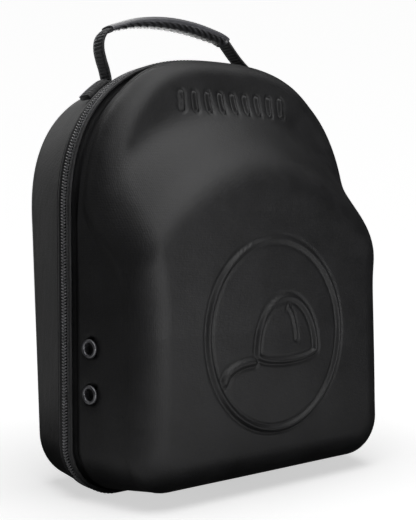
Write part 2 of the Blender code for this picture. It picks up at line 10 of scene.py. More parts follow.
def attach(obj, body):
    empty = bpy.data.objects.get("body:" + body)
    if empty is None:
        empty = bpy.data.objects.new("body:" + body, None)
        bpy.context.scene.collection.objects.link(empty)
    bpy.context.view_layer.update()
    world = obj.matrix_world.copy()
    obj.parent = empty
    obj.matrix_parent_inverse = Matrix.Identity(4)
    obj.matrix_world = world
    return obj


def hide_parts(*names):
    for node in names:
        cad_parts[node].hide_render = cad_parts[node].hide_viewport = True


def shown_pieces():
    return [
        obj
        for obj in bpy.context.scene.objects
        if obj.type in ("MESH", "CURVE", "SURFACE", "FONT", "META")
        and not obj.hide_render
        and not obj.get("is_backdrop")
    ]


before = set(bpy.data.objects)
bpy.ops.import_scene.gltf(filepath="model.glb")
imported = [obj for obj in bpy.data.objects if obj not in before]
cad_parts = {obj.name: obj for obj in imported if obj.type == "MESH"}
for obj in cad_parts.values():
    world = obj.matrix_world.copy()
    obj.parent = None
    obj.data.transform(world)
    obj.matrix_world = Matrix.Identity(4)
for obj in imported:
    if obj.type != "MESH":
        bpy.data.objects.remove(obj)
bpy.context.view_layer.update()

# Outline of the case at the zip plane, as in the CAD
CASE_HEIGHT = 0.340
HALF_WIDTH = 0.1377
FOOT_HALF_WIDTH = 0.1403
ARCH_RISE = 0.1329
ARCH_POWER = 2.46
CORNER_RADIUS = 0.041
CORNER_TIGHTENING = 0.72
ZIP_Y = -0.0002
ARCH_SPRING_Z = CASE_HEIGHT - ARCH_RISE
MID_Z = CASE_HEIGHT / 2
HINGE_HALF_LENGTH = 0.070
WALL = 0.004

# Depths and drafts of the two shells
BACK_DEPTH, BACK_SLOPE, BACK_ROUND = 0.0743, 0.080, 0.015
BACK_STEP, BACK_FOOT_STEP, BACK_DRAFT, BACK_FOOT_DRAFT = 0.0019, 0.0006, 0.122, 0.035
BACK_START = 0.0108
PEAK_DEPTH, PEAK_SLOPE, PEAK_LEVEL_DROP = 0.0369, 0.095, 0.060
CROWN_DEPTH, CROWN_DOME = 0.0831, 0.0020
LID_STEP, LID_DRAFT, LID_FOOT_DRAFT, LID_ROUND = 0.0042, 0.28, 0.12, 0.024
LID_START = 0.0146
ROUND_SHARE = 0.85
LIP_INSET = 0.0055
RAMP_DROP, RAMP_FALL, RAMP_HALF_WIDTH, RAMP_POWER, RAMP_LENGTH = 0.0691, 0.1386, 0.148, 1.81, 0.0744
RAMP_EASE = 1.2  # how much longer than the CAD's cubic step the scene's softer one is

# The lid's step from the rim: wider by LID_SHOULDER on the arch's shoulders, and closing
# to LID_TOP_STEP on top. The other values are shares of the arch's rise
LID_TOP_STEP, LID_SHOULDER = 0.0008, 0.0024
SHOULDER_SPAN, TOP_FROM, TOP_SPAN = 0.9, 0.78, 0.21

# Rims of the shells as rings (inset, depth): behind the zip, under the band, and on the
# lid the groove beside the band
LID_LIPS = ((0.0055, 0.0003), (0.0027, 0.0003), (0.0030, 0.0066), (0.0058, 0.0084), (0.0062, 0.0126))
BACK_LIPS = ((0.0055, 0.0003), (0.0025, 0.0003), (0.0025, 0.0060), (0.0025, 0.0102))

# Mesh of the lid: shares of the half arch and of the face that are sampled more finely
LID_FINE_ARCH, LID_FINE_EDGE = 0.285, 0.14

# Relief on the lid
RELIEF_HEIGHT, RELIEF_WIDTH = 0.0021, 0.0052
CREASE_DEPTH, CREASE_SPREAD, CREASE_PLACE = 0.0009, 0.0011, 0.62
RELIEF_FROM_DEPTH = 0.028  # nearer to the zip than this the skin is the wall
RING_HALF_WIDTH, RING_HALF_HEIGHT, RING_CENTRE_Z = 0.066, 0.073, 0.121
CAP_HALF_WIDTH, CAP_HEIGHT, CAP_PEAK_LENGTH = 0.030, 0.042, 0.027
RIB_COUNT, RIB_PITCH, RIB_WIDTH, RIB_LENGTH, RIB_DROP = 9, 0.0126, 0.0043, 0.0165, 0.0377

# Eyelets
EYELET_BORE, EYELET_FLANGE, EYELET_SETBACK = 0.0094, 0.0148, 0.0262
EYELET_HEIGHTS = (0.082, 0.116)
EYELET_SEAT, EYELET_ROLL, EYELET_TUBE, EYELET_TUBE_WALL = 0.0003, 0.0016, 0.0055, 0.0009
PIT_REACH, PIT_DEPTH, PIT_RADIUS, PIT_SLOPE = 0.012, 0.0095, 0.0066, 0.0014
PUCKER_DEPTH, PUCKER_RADIUS, PUCKER_SPREAD = 0.0014, 0.0088, 0.0015

# Zip: sections as corners (depth, inset) from the outline at the zip plane
LID_BAND = (
    (0.0044, 0.0027), (0.0044, 0.0013), (0.0050, 0.0004), (0.0060, -0.0002), (0.0079, -0.0002),
    (0.0091, 0.0002), (0.0098, 0.0011), (0.0094, 0.0020), (0.0080, 0.0026), (0.0060, 0.0028),
)
BACK_BAND = (
    (0.0038, 0.0024), (0.0038, 0.0014), (0.0048, 0.0004), (0.0066, -0.0002), (0.0084, 0.0006),
    (0.0098, 0.0016), (0.0098, 0.0024),
)
ZIP_BASE = ((-0.0040, 0.0032), (-0.0038, 0.0018), (0.0040, 0.0018), (0.0042, 0.0032))
TOOTH_LENGTH, TOOTH_WIDTH, TOOTH_HEIGHT, TOOTH_PITCH = 0.0032, 0.0010, 0.0019, 0.0023
TOOTH_INSET, TOOTH_SETBACK = 0.0007, 0.00165
TOOTH_ACROSS, TOOTH_ALONG = 0.90, 0.43  # direction of a tooth: across and along the zip
STITCH_LENGTH, STITCH_WIDTH, STITCH_PITCH = 0.0024, 0.0005, 0.0034
STITCH_INSET, STITCH_DEPTH = -0.0001, 0.0082

# Hinge: its section as corners (depth, height), and the waves of its underside
HINGE_SECTION = (
    (-0.0136, 0.0010), (-0.0132, 0.0001), (-0.0110, 0.0), (-0.0060, 0.0), (0.0, 0.0), (0.0060, 0.0),
    (0.0085, 0.0), (0.0096, 0.0003), (0.0098, 0.0012), (0.0090, 0.0020), (0.0, 0.0020), (-0.0125, 0.0020),
)
HINGE_WAVE, HINGE_WAVE_PITCH, HINGE_WAVE_BELOW = 0.00012, 0.0030, 0.001

# Handle
STRAP_WIDTH, STRAP_THICKNESS, STRAP_FOLD = 0.0148, 0.0026, 0.0018
STRAP_RIB_PITCH, STRAP_RIB_DEPTH = 0.0028, 0.00038
STRAP_Y = 0.0170
STRAP_SECTION = (
    (-1, 0.0), (-0.96, 0.8), (-0.5, 1.0), (0, 1.0), (0.5, 1.0), (0.96, 0.8),
    (1, 0.0), (0.96, -0.8), (0.5, -1.0), (0, -1.0), (-0.5, -1.0), (-0.96, -0.8),
)  # shares of half the width and of half the thickness
FOOT_X, FOOT_LENGTH, HANDLE_RISE = 0.0885, 0.022, 0.0323
FOOT_CLEARANCE, FOOT_FOLD_SLOPE = 0.0006, 0.002
FOOT_SHARES = (0.06, 0.30, 0.55, 0.78)
GRIP_WIDTH, GRIP_THICKNESS, GRIP_END_WIDTH = 0.0212, 0.0096, 0.0168
GRIP_LEFT_THICKNESS, GRIP_RIGHT_THICKNESS = 0.0056, 0.0088
GRIP_RIB_PITCH, GRIP_SLANT, GRIP_CUT, GRIP_RIB_CUT = 0.0066, 1.1, 0.0004, 0.0006
GRIP_SQUARENESS, SLOT_SQUARENESS = 0.72, 0.3
SLOT_CLEARANCE, SLOT_HALF_THICKNESS = 0.0003, 0.0014
PATH_STEPS = 1500
# The strap's loop as knots (x, z), in shares of FOOT_X and of HANDLE_RISE over the case
HANDLE_LOOP = (
    (-0.985, -0.62),
    (-1.000, -0.34),
    (-1.030, -0.09),
    (-1.050, 0.155),
    (-1.045, 0.37),
    (-1.015, 0.53),
    (-0.955, 0.665),
    (-0.830, 0.785),
    (-0.680, 0.90),
    (-0.510, 0.97),
    (-0.340, 1.00),
    (-0.170, 0.99),
    (0.000, 0.945),
    (0.170, 0.865),
    (0.280, 0.80),
    (0.355, 0.72),
    (0.400, 0.60),
    (0.465, 0.41),
    (0.555, 0.185),
    (0.680, -0.045),
    (0.790, -0.215),
    (0.900, -0.40),
)
GRIP_FIRST_KNOT, GRIP_LAST_KNOT = 6, 15

# Camera, fitted to the photograph: its heading about the zip plane's middle, in radians
CAMERA_AZIMUTH, CAMERA_DISTANCE, CAMERA_X, CAMERA_Z = 0.6480, 0.8064, -0.0016, 0.2018
CAMERA_PITCH, CAMERA_YAW, CAMERA_ROLL = -0.0311, 0.0001, -0.0165
CAMERA_FOCAL_PX, IMAGE_HEIGHT_PX, SENSOR_MM = 965.34, 520, 36.0

# Floor: how far it is flat, its sweep and wall, and its glow, which rises with distance
FLOOR_REACH, FLOOR_INNER_REACH, SWEEP_RADIUS, WALL_TOP = 2.2, 0.4, 1.2, 6.0
FLOOR_GLOW, FLOOR_GLOW_GAIN, FLOOR_GLOW_RISE = 0.56, 0.35, 0.37
BOUNCE_HEIGHT = 0.004
WORLD_STRENGTH = 0.02

# Lamps: name, heading and height in degrees, distance, width and height in metres, watts,
# and whether the lamp is flagged off the floor. One below the horizon lies on the floor
LAMPS = (
    ("front_softbox", 0, 15, 1.5, 0.4, 1.0, 4.6, True),
    ("front_high_softbox", 0, 45, 1.5, 0.6, 0.6, 6.7, True),
    ("front_left_softbox", -45, 45, 1.5, 0.6, 0.6, 2.4, True),
    ("left_softbox", -115, 15, 1.5, 0.5, 1.0, 0.9, True),
    ("back_softbox", -175, 15, 1.5, 0.5, 1.0, 1.8, True),
    ("back_right_softbox", 150, 4, 1.5, 0.8, 0.8, 7.0, True),
    ("top_softbox", 10, 68, 1.5, 0.8, 0.6, 4.0, True),
    ("top_right_softbox", 75, 55, 1.5, 0.5, 0.5, 1.5, True),
    ("top_back_softbox", 180, 55, 1.5, 1.2, 0.8, 9.0, True),
    ("front_bounce", 0, -1, 1.0, 0.6, 1.0, 12.2, True),
    ("near_bounce", 0, -1, 0.62, 0.5, 0.95, 1.9, True),
    ("left_bounce", -20, -1, 1.0, 0.6, 1.0, 2.0, True),
    ("near_left_bounce", -20, -1, 0.62, 0.5, 0.95, 1.4, True),
    ("side_bounce", -60, -1, 0.62, 0.5, 0.95, 1.0, True),
    ("back_bounce", -160, -1, 0.85, 0.6, 1.0, 1.1, True),
    ("floor_softbox", -20, 80, 1.5, 1.4, 1.4, 16.0, False),
)


# ---- Meshes from grids ----


def grid_faces(rows, columns, wrap):
    """Quads between neighbouring rows and columns; with wrap the last column meets the first."""
    i = np.arange(rows - 1)[:, None] * columns
    j = np.arange(columns if wrap else columns - 1)[None, :]
    k = (j + 1) % columns
    return np.stack([i + j, i + columns + j, i + columns + k, i + k], axis=-1).reshape(-1, 4)


def new_piece(name, points, quads, material, triangles=None, values=None):
    """A mesh object from arrays of points, quads and triangles, shaded smooth."""
    triangles = np.empty((0, 3), int) if triangles is None else triangles
    corners = np.concatenate([quads.ravel(), triangles.ravel()]).astype(np.int32)
    sizes = np.concatenate([np.full(len(quads), 4), np.full(len(triangles), 3)])
    starts = np.concatenate([[0], np.cumsum(sizes)[:-1]]).astype(np.int32)
    mesh = bpy.data.meshes.new(name)
    mesh.vertices.add(len(points))
    mesh.vertices.foreach_set("co", np.ascontiguousarray(points, dtype=np.float32).ravel())
    mesh.loops.add(len(corners))
    mesh.loops.foreach_set("vertex_index", corners)
    mesh.polygons.add(len(sizes))
    mesh.polygons.foreach_set("loop_start", starts)
    mesh.polygons.foreach_set("use_smooth", np.ones(len(sizes), dtype=bool))
    for key, data in (values or {}).items():
        layer = mesh.attributes.new(key, "FLOAT", "POINT")
        layer.data.foreach_set("value", np.ascontiguousarray(data, dtype=np.float32).ravel())
    mesh.update(calc_edges=True)
    mesh.validate()
    mesh.materials.append(material)
    piece = bpy.data.objects.new(name, mesh)
    bpy.context.scene.collection.objects.link(piece)
    return piece


def outward(points, quads, triangles, towards_out):
    """Flips all the faces if their signed volume says that they face inwards."""
    a, b, c, d = (points[quads[:, i]] for i in range(4))
    volume = np.einsum("ij,ij->i", a, np.cross(b, c) + np.cross(c, d)).sum()
    if len(triangles):
        a, b, c = (points[triangles[:, i]] for i in range(3))
        volume += np.einsum("ij,ij->i", a, np.cross(b, c)).sum()
    if (volume < 0) == towards_out:
        return quads[:, ::-1], triangles[:, ::-1]
    return quads, triangles


def closed_surface(name, rings, poles, material, values=None):
    """Rings of as many points joined in order, each end closed by a fan to its pole."""
    rows, columns = rings.shape[:2]
    points = np.concatenate([rings.reshape(-1, 3), np.array(poles)])
    quads = grid_faces(rows, columns, wrap=True)
    j = np.arange(columns)
    k = (j + 1) % columns
    first, last = rows * columns, rows * columns + 1
    base = (rows - 1) * columns
    fan_a = np.stack([j, k, np.full(columns, first)], axis=-1)
    fan_b = np.stack([base + k, base + j, np.full(columns, last)], axis=-1)
    quads, triangles = outward(points, quads, np.concatenate([fan_a, fan_b]), True)
    if values:
        values = {
            key: np.concatenate([np.ravel(data), np.ravel(data)[[0, -1]]])
            for key, data in values.items()
        }
    return new_piece(name, points, quads, material, triangles, values)


def tube_surface(name, sections, material, values=None, loop=False):
    """Closed sections (rows, corners, 3) joined along a path, its ends capped or met."""
    rows, columns = sections.shape[:2]
    if loop:
        sections = np.concatenate([sections, sections[:1]])
        quads = grid_faces(rows + 1, columns, wrap=True) % (rows * columns)
        points = sections[:rows].reshape(-1, 3)
        quads, triangles = outward(points, quads, np.empty((0, 3), int), True)
        return new_piece(name, points, quads, material, triangles, values)
    poles = (sections[0].mean(axis=0), sections[-1].mean(axis=0))
    return closed_surface(name, sections, poles, material, values)


def scattered(name, template, faces, origins, axes, material, values=None):
    """Copies of one template mesh, each with its own origin and three axes.

    template is (points, 3), origins (copies, 3) and axes (copies, 3, 3), whose rows are
    where the template's X, Y and Z go.
    """
    points = origins[:, None, :] + np.einsum("pk,nkc->npc", template, axes)
    count = len(template)
    shift = np.arange(len(origins))[:, None, None] * count
    quads, triangles = faces
    quads = (quads[None] + shift).reshape(-1, 4)
    triangles = (triangles[None] + shift).reshape(-1, 3)
    points = points.reshape(-1, 3)
    quads, triangles = outward(points - points.mean(axis=0), quads, triangles, True)
    return new_piece(name, points, quads, material, triangles, values)


def capsule(length, width, height, around=8, along=5):
    """Template of a rounded bar along X: rings whose radius follows a half circle's ends."""
    t = np.linspace(-1, 1, along + 2)[1:-1]
    swell = np.sqrt(np.clip(1 - np.abs(t) ** 4, 0, 1))
    angle = np.linspace(0, 2 * np.pi, around, endpoint=False)
    x = np.repeat(t * length / 2, around)
    y = (swell[:, None] * np.cos(angle) * width / 2).ravel()
    z = (swell[:, None] * np.sin(angle) * height / 2).ravel()
    points = np.column_stack([x, y, z])
    points = np.vstack([points, [-length / 2, 0, 0], [length / 2, 0, 0]])
    quads = grid_faces(along, around, wrap=True)
    j = np.arange(around)
    k = (j + 1) % around
    base = (along - 1) * around
    fan_a = np.stack([j, k, np.full(around, along * around)], axis=-1)
    fan_b = np.stack([base + k, base + j, np.full(around, along * around + 1)], axis=-1)
    return points, (quads, np.concatenate([fan_a, fan_b]))


# ---- Outline ----


def even_steps(x, z, share):
    """Parameter values at which a sampled curve has run the given shares of its length."""
    run = np.concatenate([[0], np.cumsum(np.hypot(np.diff(x), np.diff(z)))])
    return np.interp(np.asarray(share) * run[-1], run, np.linspace(0, 1, len(run)))


class Outline:
    """The case's outline and its smaller sisters, sampled at fixed columns of one half."""

    def __init__(self, arch_shares, side_steps, corner_steps, bottom_steps, last_x=0.0):
        t = np.linspace(np.pi / 2, 0, 4001)
        across = np.clip(np.cos(t), 0, 1) ** (2 / ARCH_POWER)
        above = np.clip(np.sin(t), 0, 1) ** (2 / ARCH_POWER)
        at = even_steps(HALF_WIDTH * across, ARCH_RISE * above, arch_shares)
        angle = np.pi / 2 * (1 - at)
        self.across = np.clip(np.cos(angle), 0, 1) ** (2 / ARCH_POWER)
        self.above = np.clip(np.sin(angle), 0, 1) ** (2 / ARCH_POWER)
        self.side = np.linspace(0, 1, side_steps + 1)[1:-1]
        self.corner = np.linspace(0, np.pi / 2, corner_steps + 1)
        self.bottom = np.linspace(0, 1, bottom_steps + 1)[1:]
        self.last_x = last_x
        parts = (len(self.across), len(self.side), len(self.corner), len(self.bottom))
        self.cuts = np.cumsum(parts)[:-1]
        self.half = sum(parts)

    def right(self, side, foot):
        """x and z of the right half, for insets side and foot of shape (..., half).

        The arch is a superellipse whose half axes lose the side inset, the sides are
        straight, and the corner's radius shrinks by a share of both insets.
        """
        side, foot = np.broadcast_arrays(side, foot)
        s = np.split(side, self.cuts, axis=-1)
        f = np.split(foot, self.cuts, axis=-1)
        radius = [CORNER_RADIUS - CORNER_TIGHTENING * (a + b) / 2 for a, b in zip(s, f)]
        first = FOOT_HALF_WIDTH - s[3] - radius[3]
        run = FOOT_HALF_WIDTH - HALF_WIDTH
        x = (
            (HALF_WIDTH - s[0]) * self.across,
            HALF_WIDTH + run * self.side - s[1],
            FOOT_HALF_WIDTH - s[2] - radius[2] * (1 - np.cos(self.corner)),
            first + (self.last_x - first) * self.bottom,
        )
        z = (
            ARCH_SPRING_Z + (ARCH_RISE - s[0]) * self.above,
            ARCH_SPRING_Z + (radius[1] + f[1] - ARCH_SPRING_Z) * self.side,
            f[2] + radius[2] * (1 - np.sin(self.corner)),
            f[3] + 0 * self.bottom,
        )
        return np.concatenate(x, axis=-1), np.concatenate(z, axis=-1)

    def whole(self, values, sign=1):
        """A right half's values continued over the mirrored left half."""
        if self.last_x:
            return np.concatenate([sign * values[..., :0:-1], values], axis=-1)
        return np.concatenate([values, sign * values[..., -2:0:-1]], axis=-1)

    def loop(self, side, foot, y):
        """Points (..., columns, 3) of rings at depth y from the zip plane."""
        shape = np.broadcast_shapes(np.shape(side), np.shape(foot), np.shape(y), (self.half,))
        side, foot, y = (np.broadcast_to(v, shape) for v in (side, foot, y))
        x, z = self.right(side, foot)
        x, z, y = self.whole(x, -1), self.whole(z), self.whole(y)
        return np.stack([x, y, z], axis=-1)


def smoothstep(t):
    """A cubic from 0 to 1, level at both ends."""
    t = np.clip(t, 0, 1)
    return t * t * (3 - 2 * t)


def smootherstep(t):
    """A quintic from 0 to 1, level and straight at both ends."""
    t = np.clip(t, 0, 1)
    return t**3 * (6 * t**2 - 15 * t + 10)


def lid_depth(x, z):
    """Depth of the lid's face: the peak's level, blended into the crown's down an arched ramp."""
    across = np.clip(np.abs(x) / RAMP_HALF_WIDTH, 0, 1)
    arch = (1 - across**RAMP_POWER) ** (1 / RAMP_POWER)
    line = CASE_HEIGHT - RAMP_DROP - RAMP_FALL * (1 - arch)
    step = smootherstep((line - z) / (RAMP_EASE * RAMP_LENGTH) + 0.5)
    peak = PEAK_DEPTH - PEAK_SLOPE * (z - (CASE_HEIGHT - PEAK_LEVEL_DROP))
    near = (x / HALF_WIDTH) ** 2 + ((z - RING_CENTRE_Z) / RING_CENTRE_Z) ** 2
    return peak + (CROWN_DEPTH + CROWN_DOME * np.clip(1 - near, 0, 1) - peak) * step


def back_depth(x, z):
    """Depth of the back's face, which grows evenly with height."""
    return BACK_DEPTH + BACK_SLOPE * (z - MID_Z) + 0 * x


def lid_wall(line):
    """Insets of the lid's wall at a depth; its step widens at the shoulders and closes up on top."""
    rise = np.zeros(line.half)
    rise[: len(line.above)] = line.above
    step = LID_STEP + LID_SHOULDER * np.sin(np.pi * np.clip(rise / SHOULDER_SPAN, 0, 1))
    step = step + (LID_TOP_STEP - step) * smoothstep((rise - TOP_FROM) / TOP_SPAN)

    def wall(y):
        run = y - LID_START
        return step + LID_DRAFT * run, LID_STEP + LID_FOOT_DRAFT * run

    return wall


def back_wall(y):
    """Insets of the back's wall at a depth."""
    run = y - BACK_START
    return BACK_STEP + BACK_DRAFT * run, BACK_FOOT_STEP + BACK_FOOT_DRAFT * run


def shell_skin(line, wall, depth, start, radius, counts, thickness, shares, middle):
    """Rings of a shell's skin from its lip over the rounded edge to the face's middle.

    The wall leans in with depth, a quarter circle of the given radius turns it into the
    face, and the face's rings shrink the rim towards the middle. thickness moves all
    of them inwards.
    """
    x, z = line.right(np.full(line.half, LIP_INSET), np.full(line.half, LIP_INSET))
    edge = depth(x, z)
    radius = np.minimum(radius, ROUND_SHARE * (edge - start))
    wall_steps, round_steps = counts
    t = np.linspace(0, 1, wall_steps + 1)[:-1, None]
    y = start + (edge - radius - start) * t
    side, foot = wall(y)
    sides = line.loop(side + thickness, foot + thickness, y)
    side, foot = wall(edge - radius)
    angle = np.linspace(0, np.pi / 2, round_steps + 1)[:, None]
    inwards = radius - (radius - thickness) * np.cos(angle)
    turn = line.loop(side + inwards, foot + inwards, 0.0)
    lift = line.whole((radius - thickness) * np.sin(angle) - radius)
    turn[..., 1] = depth(turn[..., 0], turn[..., 2]) + lift
    share = np.asarray(shares)[:, None]
    face_x = turn[-1, :, 0] * (1 - share)
    face_z = turn[-1, :, 2] + (middle - turn[-1, :, 2]) * share
    face = np.stack([face_x, depth(face_x, face_z) - thickness, face_z], axis=-1)
    pole = np.array([0.0, depth(np.array(0.0), np.array(middle)) - thickness, middle])
    return np.concatenate([sides, turn, face]), pole


def normals_of(rings):
    """Unit normals of a grid of points that wraps in its columns, by central differences."""
    du = np.roll(rings, -1, axis=1) - np.roll(rings, 1, axis=1)
    dv = np.gradient(rings, axis=0)
    n = np.cross(du, dv)
    return n / np.maximum(np.linalg.norm(n, axis=-1, keepdims=True), 1e-12)


# ---- Relief ----


def segment_distance(x, z, path):
    """Distance from points to a polyline in the plane of the lid."""
    best = np.full(x.shape, np.inf)
    for (ax, az), (bx, bz) in zip(path[:-1], path[1:]):
        dx, dz = bx - ax, bz - az
        t = np.clip(((x - ax) * dx + (z - az) * dz) / max(dx * dx + dz * dz, 1e-18), 0, 1)
        best = np.minimum(best, np.hypot(x - ax - t * dx, z - az - t * dz))
    return best


def arc(centre, half_width, half_height, first, last, steps):
    """Points along an arc of an ellipse between two angles in degrees."""
    angle = np.radians(np.linspace(first, last, steps + 1))
    x = centre[0] + half_width * np.cos(angle)
    return np.column_stack([x, centre[1] + half_height * np.sin(angle)])


def ridge(distance, width):
    """A cosine bell as wide as given, less a Gaussian crease along each side of it."""
    bell = 0.5 + 0.5 * np.cos(np.pi * np.clip(distance / (width / 2), 0, 1))
    crease = CREASE_DEPTH * np.exp(-(((distance - width * CREASE_PLACE) / CREASE_SPREAD) ** 2))
    raised = RELIEF_HEIGHT * bell**0.7
    return raised - crease


def relief(x, z):
    """Height of the lid's relief: an oval ring with a cap in it, and a row of ribs."""
    f = np.hypot(x / RING_HALF_WIDTH, (z - RING_CENTRE_Z) / RING_HALF_HEIGHT)
    g = np.hypot(x / RING_HALF_WIDTH**2, (z - RING_CENTRE_Z) / RING_HALF_HEIGHT**2)
    ring = np.abs(f - 1) * f / np.maximum(g, 1e-9)
    base = (CAP_HALF_WIDTH / 3, RING_CENTRE_Z - CAP_HEIGHT / 3)
    dome = arc(base, CAP_HALF_WIDTH, CAP_HEIGHT, 0, 180, 40)
    brow = arc(base, CAP_HALF_WIDTH, CAP_HEIGHT / 6, 180, 360, 24)
    hinge = (base[0] - CAP_HALF_WIDTH - RELIEF_WIDTH * 0.9, base[1] - CAP_HEIGHT / 3 - RELIEF_WIDTH)
    peak = arc(hinge, CAP_PEAK_LENGTH, CAP_HEIGHT / 3, 88, 176, 16)
    seam = arc(base, CAP_HALF_WIDTH / 3, CAP_HEIGHT - RELIEF_WIDTH * 1.5, 15, 82, 16)
    height = ridge(ring, RELIEF_WIDTH)
    height = merge(height, ridge(segment_distance(x, z, np.vstack([dome, brow])), RELIEF_WIDTH))
    height = merge(height, ridge(segment_distance(x, z, peak), RELIEF_WIDTH * 1.4))
    height = merge(height, ridge(segment_distance(x, z, seam), RELIEF_WIDTH * 0.55) * 0.6)
    middle = CASE_HEIGHT - RIB_DROP
    reach = (RIB_LENGTH - RIB_WIDTH) / 2
    for i in range(RIB_COUNT):
        rib_x = (i - (RIB_COUNT - 1) / 2) * RIB_PITCH
        d = np.hypot(x - rib_x, np.maximum(np.abs(z - middle) - reach, 0))
        height = merge(height, ridge(d, RIB_WIDTH))
    return height


def merge(a, b):
    """The ridge of either, or the deeper crease where neither is raised."""
    return np.where((a > 0) | (b > 0), np.maximum(a, b), np.minimum(a, b))


# ---- Materials ----


def principled(name):
    material = bpy.data.materials.new(name)
    material.use_nodes = True
    tree = material.node_tree
    return material, tree, tree.nodes["Principled BSDF"]


def add(tree, kind, **settings):
    """A node with its sockets and settings given by name."""
    node = tree.nodes.new(kind)
    for key, value in settings.items():
        if key in node.inputs:
            node.inputs[key].default_value = value
        else:
            setattr(node, key, value)
    return node


def coordinates(tree, scale=(1, 1, 1)):
    """Object coordinates scaled along each axis."""
    source = add(tree, "ShaderNodeTexCoord")
    mapping = add(tree, "ShaderNodeMapping")
    mapping.inputs["Scale"].default_value = scale
    tree.links.new(source.outputs["Object"], mapping.inputs["Vector"])
    return mapping.outputs["Vector"]


def noise(tree, vector, scale, detail=3.0, roughness=0.5):
    node = add(tree, "ShaderNodeTexNoise", Scale=scale, Detail=detail, Roughness=roughness)
    tree.links.new(vector, node.inputs["Vector"])
    return node.outputs["Fac"]


def maths(tree, operation, a, b):
    node = add(tree, "ShaderNodeMath", operation=operation)
    for socket, value in zip(node.inputs, (a, b)):
        if isinstance(value, (int, float)):
            socket.default_value = value
        else:
            tree.links.new(value, socket)
    return node.outputs[0]


def ramp(tree, factor, low, high, dark, light):
    """A colour between dark and light as factor runs from low to high."""
    node = tree.nodes.new("ShaderNodeValToRGB")
    node.color_ramp.elements[0].position = low
    node.color_ramp.elements[0].color = (*dark, 1)
    node.color_ramp.elements[1].position = high
    node.color_ramp.elements[1].color = (*light, 1)
    tree.links.new(factor, node.inputs["Fac"])
    return node.outputs["Color"]


def bump(tree, shader, height, distance, strength=1.0, before=None):
    node = add(tree, "ShaderNodeBump", Strength=strength, Distance=distance)
    tree.links.new(height, node.inputs["Height"])
    if before is not None:
        tree.links.new(before, node.inputs["Normal"])
    tree.links.new(node.outputs["Normal"], shader.inputs["Normal"])
    return node.outputs["Normal"]


BAND_SPACING = 0.31831  # about the distance between the crests of a wave texture of scale 1
MOTTLE_SCALE, GRAIN_SCALE, NAP_SCALE = 38.0, 900.0, 420.0
MOTTLE_DEPTH, NAP_DEPTH, MOULDED_GRAIN_DEPTH = 0.0006, 0.00016, 0.00004


def weave(tree, vector, pitch):
    """Height of a plain weave: two crossing sets of waves, slightly disturbed."""
    waves = []
    for direction in ("X", "Z"):
        node = add(tree, "ShaderNodeTexWave", Scale=1.0, Distortion=0.6, Detail=1.0)
        node.bands_direction = direction
        node.inputs["Scale"].default_value = BAND_SPACING / pitch / 2
        node.inputs["Detail Scale"].default_value = 1.0
        tree.links.new(vector, node.inputs["Vector"])
        waves.append(node.outputs["Fac"])
    return maths(tree, "MAXIMUM", waves[0], waves[1])


def cloth_material(name, dark, light, roughness, pitch, sheen, weave_depth):
    """Woven cloth: mottled base colour, worn roughness, and a fine weave and nap in relief."""
    material, tree, shader = principled(name)
    vector = coordinates(tree)
    broad = noise(tree, vector, MOTTLE_SCALE, 4.0, 0.6)
    grain = noise(tree, coordinates(tree, (1.0, 1.0, 0.7)), GRAIN_SCALE, 2.0, 0.6)
    mixed = maths(tree, "ADD", maths(tree, "MULTIPLY", broad, 0.55), maths(tree, "MULTIPLY", grain, 0.45))
    tree.links.new(ramp(tree, mixed, 0.36, 0.64, dark, light), shader.inputs["Base Color"])
    wear = maths(tree, "ADD", maths(tree, "MULTIPLY", mixed, 0.16), roughness - 0.08)
    tree.links.new(wear, shader.inputs["Roughness"])
    shader.inputs["Specular IOR Level"].default_value = 0.25
    shader.inputs["Sheen Weight"].default_value = sheen
    shader.inputs["Sheen Roughness"].default_value = 0.45
    shader.inputs["Sheen Tint"].default_value = (0.75, 0.76, 0.80, 1)
    fine = maths(tree, "ADD", weave(tree, vector, pitch), maths(tree, "MULTIPLY", grain, 1.6))
    first = bump(tree, shader, fine, weave_depth)
    second = bump(tree, shader, noise(tree, vector, NAP_SCALE, 3.0, 0.7), NAP_DEPTH, 1.0, first)
    bump(tree, shader, broad, MOTTLE_DEPTH, 0.5, second)
    return material


def plain_material(name, dark, light, roughness, scale, metallic=0.0, coat=0.0, shaded=False):
    """Moulded or enamelled surface: faint mottling and a fine grain.

    When shaded, the piece's own attribute of that name darkens it as painted shade.
    """
    material, tree, shader = principled(name)
    vector = coordinates(tree)
    value = noise(tree, vector, scale, 4.0, 0.55)
    if shaded:
        own = add(tree, "ShaderNodeAttribute", attribute_name="shade")
        tint = maths(tree, "ADD", maths(tree, "MULTIPLY", value, 0.4), 0.5)
        tint = maths(tree, "SUBTRACT", tint, maths(tree, "MULTIPLY", own.outputs["Fac"], 0.7))
        colour = ramp(tree, tint, 0.0, 0.9, dark, light)
    else:
        colour = ramp(tree, value, 0.35, 0.65, dark, light)
    tree.links.new(colour, shader.inputs["Base Color"])
    wear = maths(tree, "ADD", maths(tree, "MULTIPLY", value, 0.14), roughness - 0.07)
    tree.links.new(wear, shader.inputs["Roughness"])
    shader.inputs["Metallic"].default_value = metallic
    shader.inputs["Coat Weight"].default_value = coat
    shader.inputs["Coat Roughness"].default_value = 0.12
    bump(tree, shader, noise(tree, vector, scale * 9, 2.0), MOULDED_GRAIN_DEPTH)
    return material


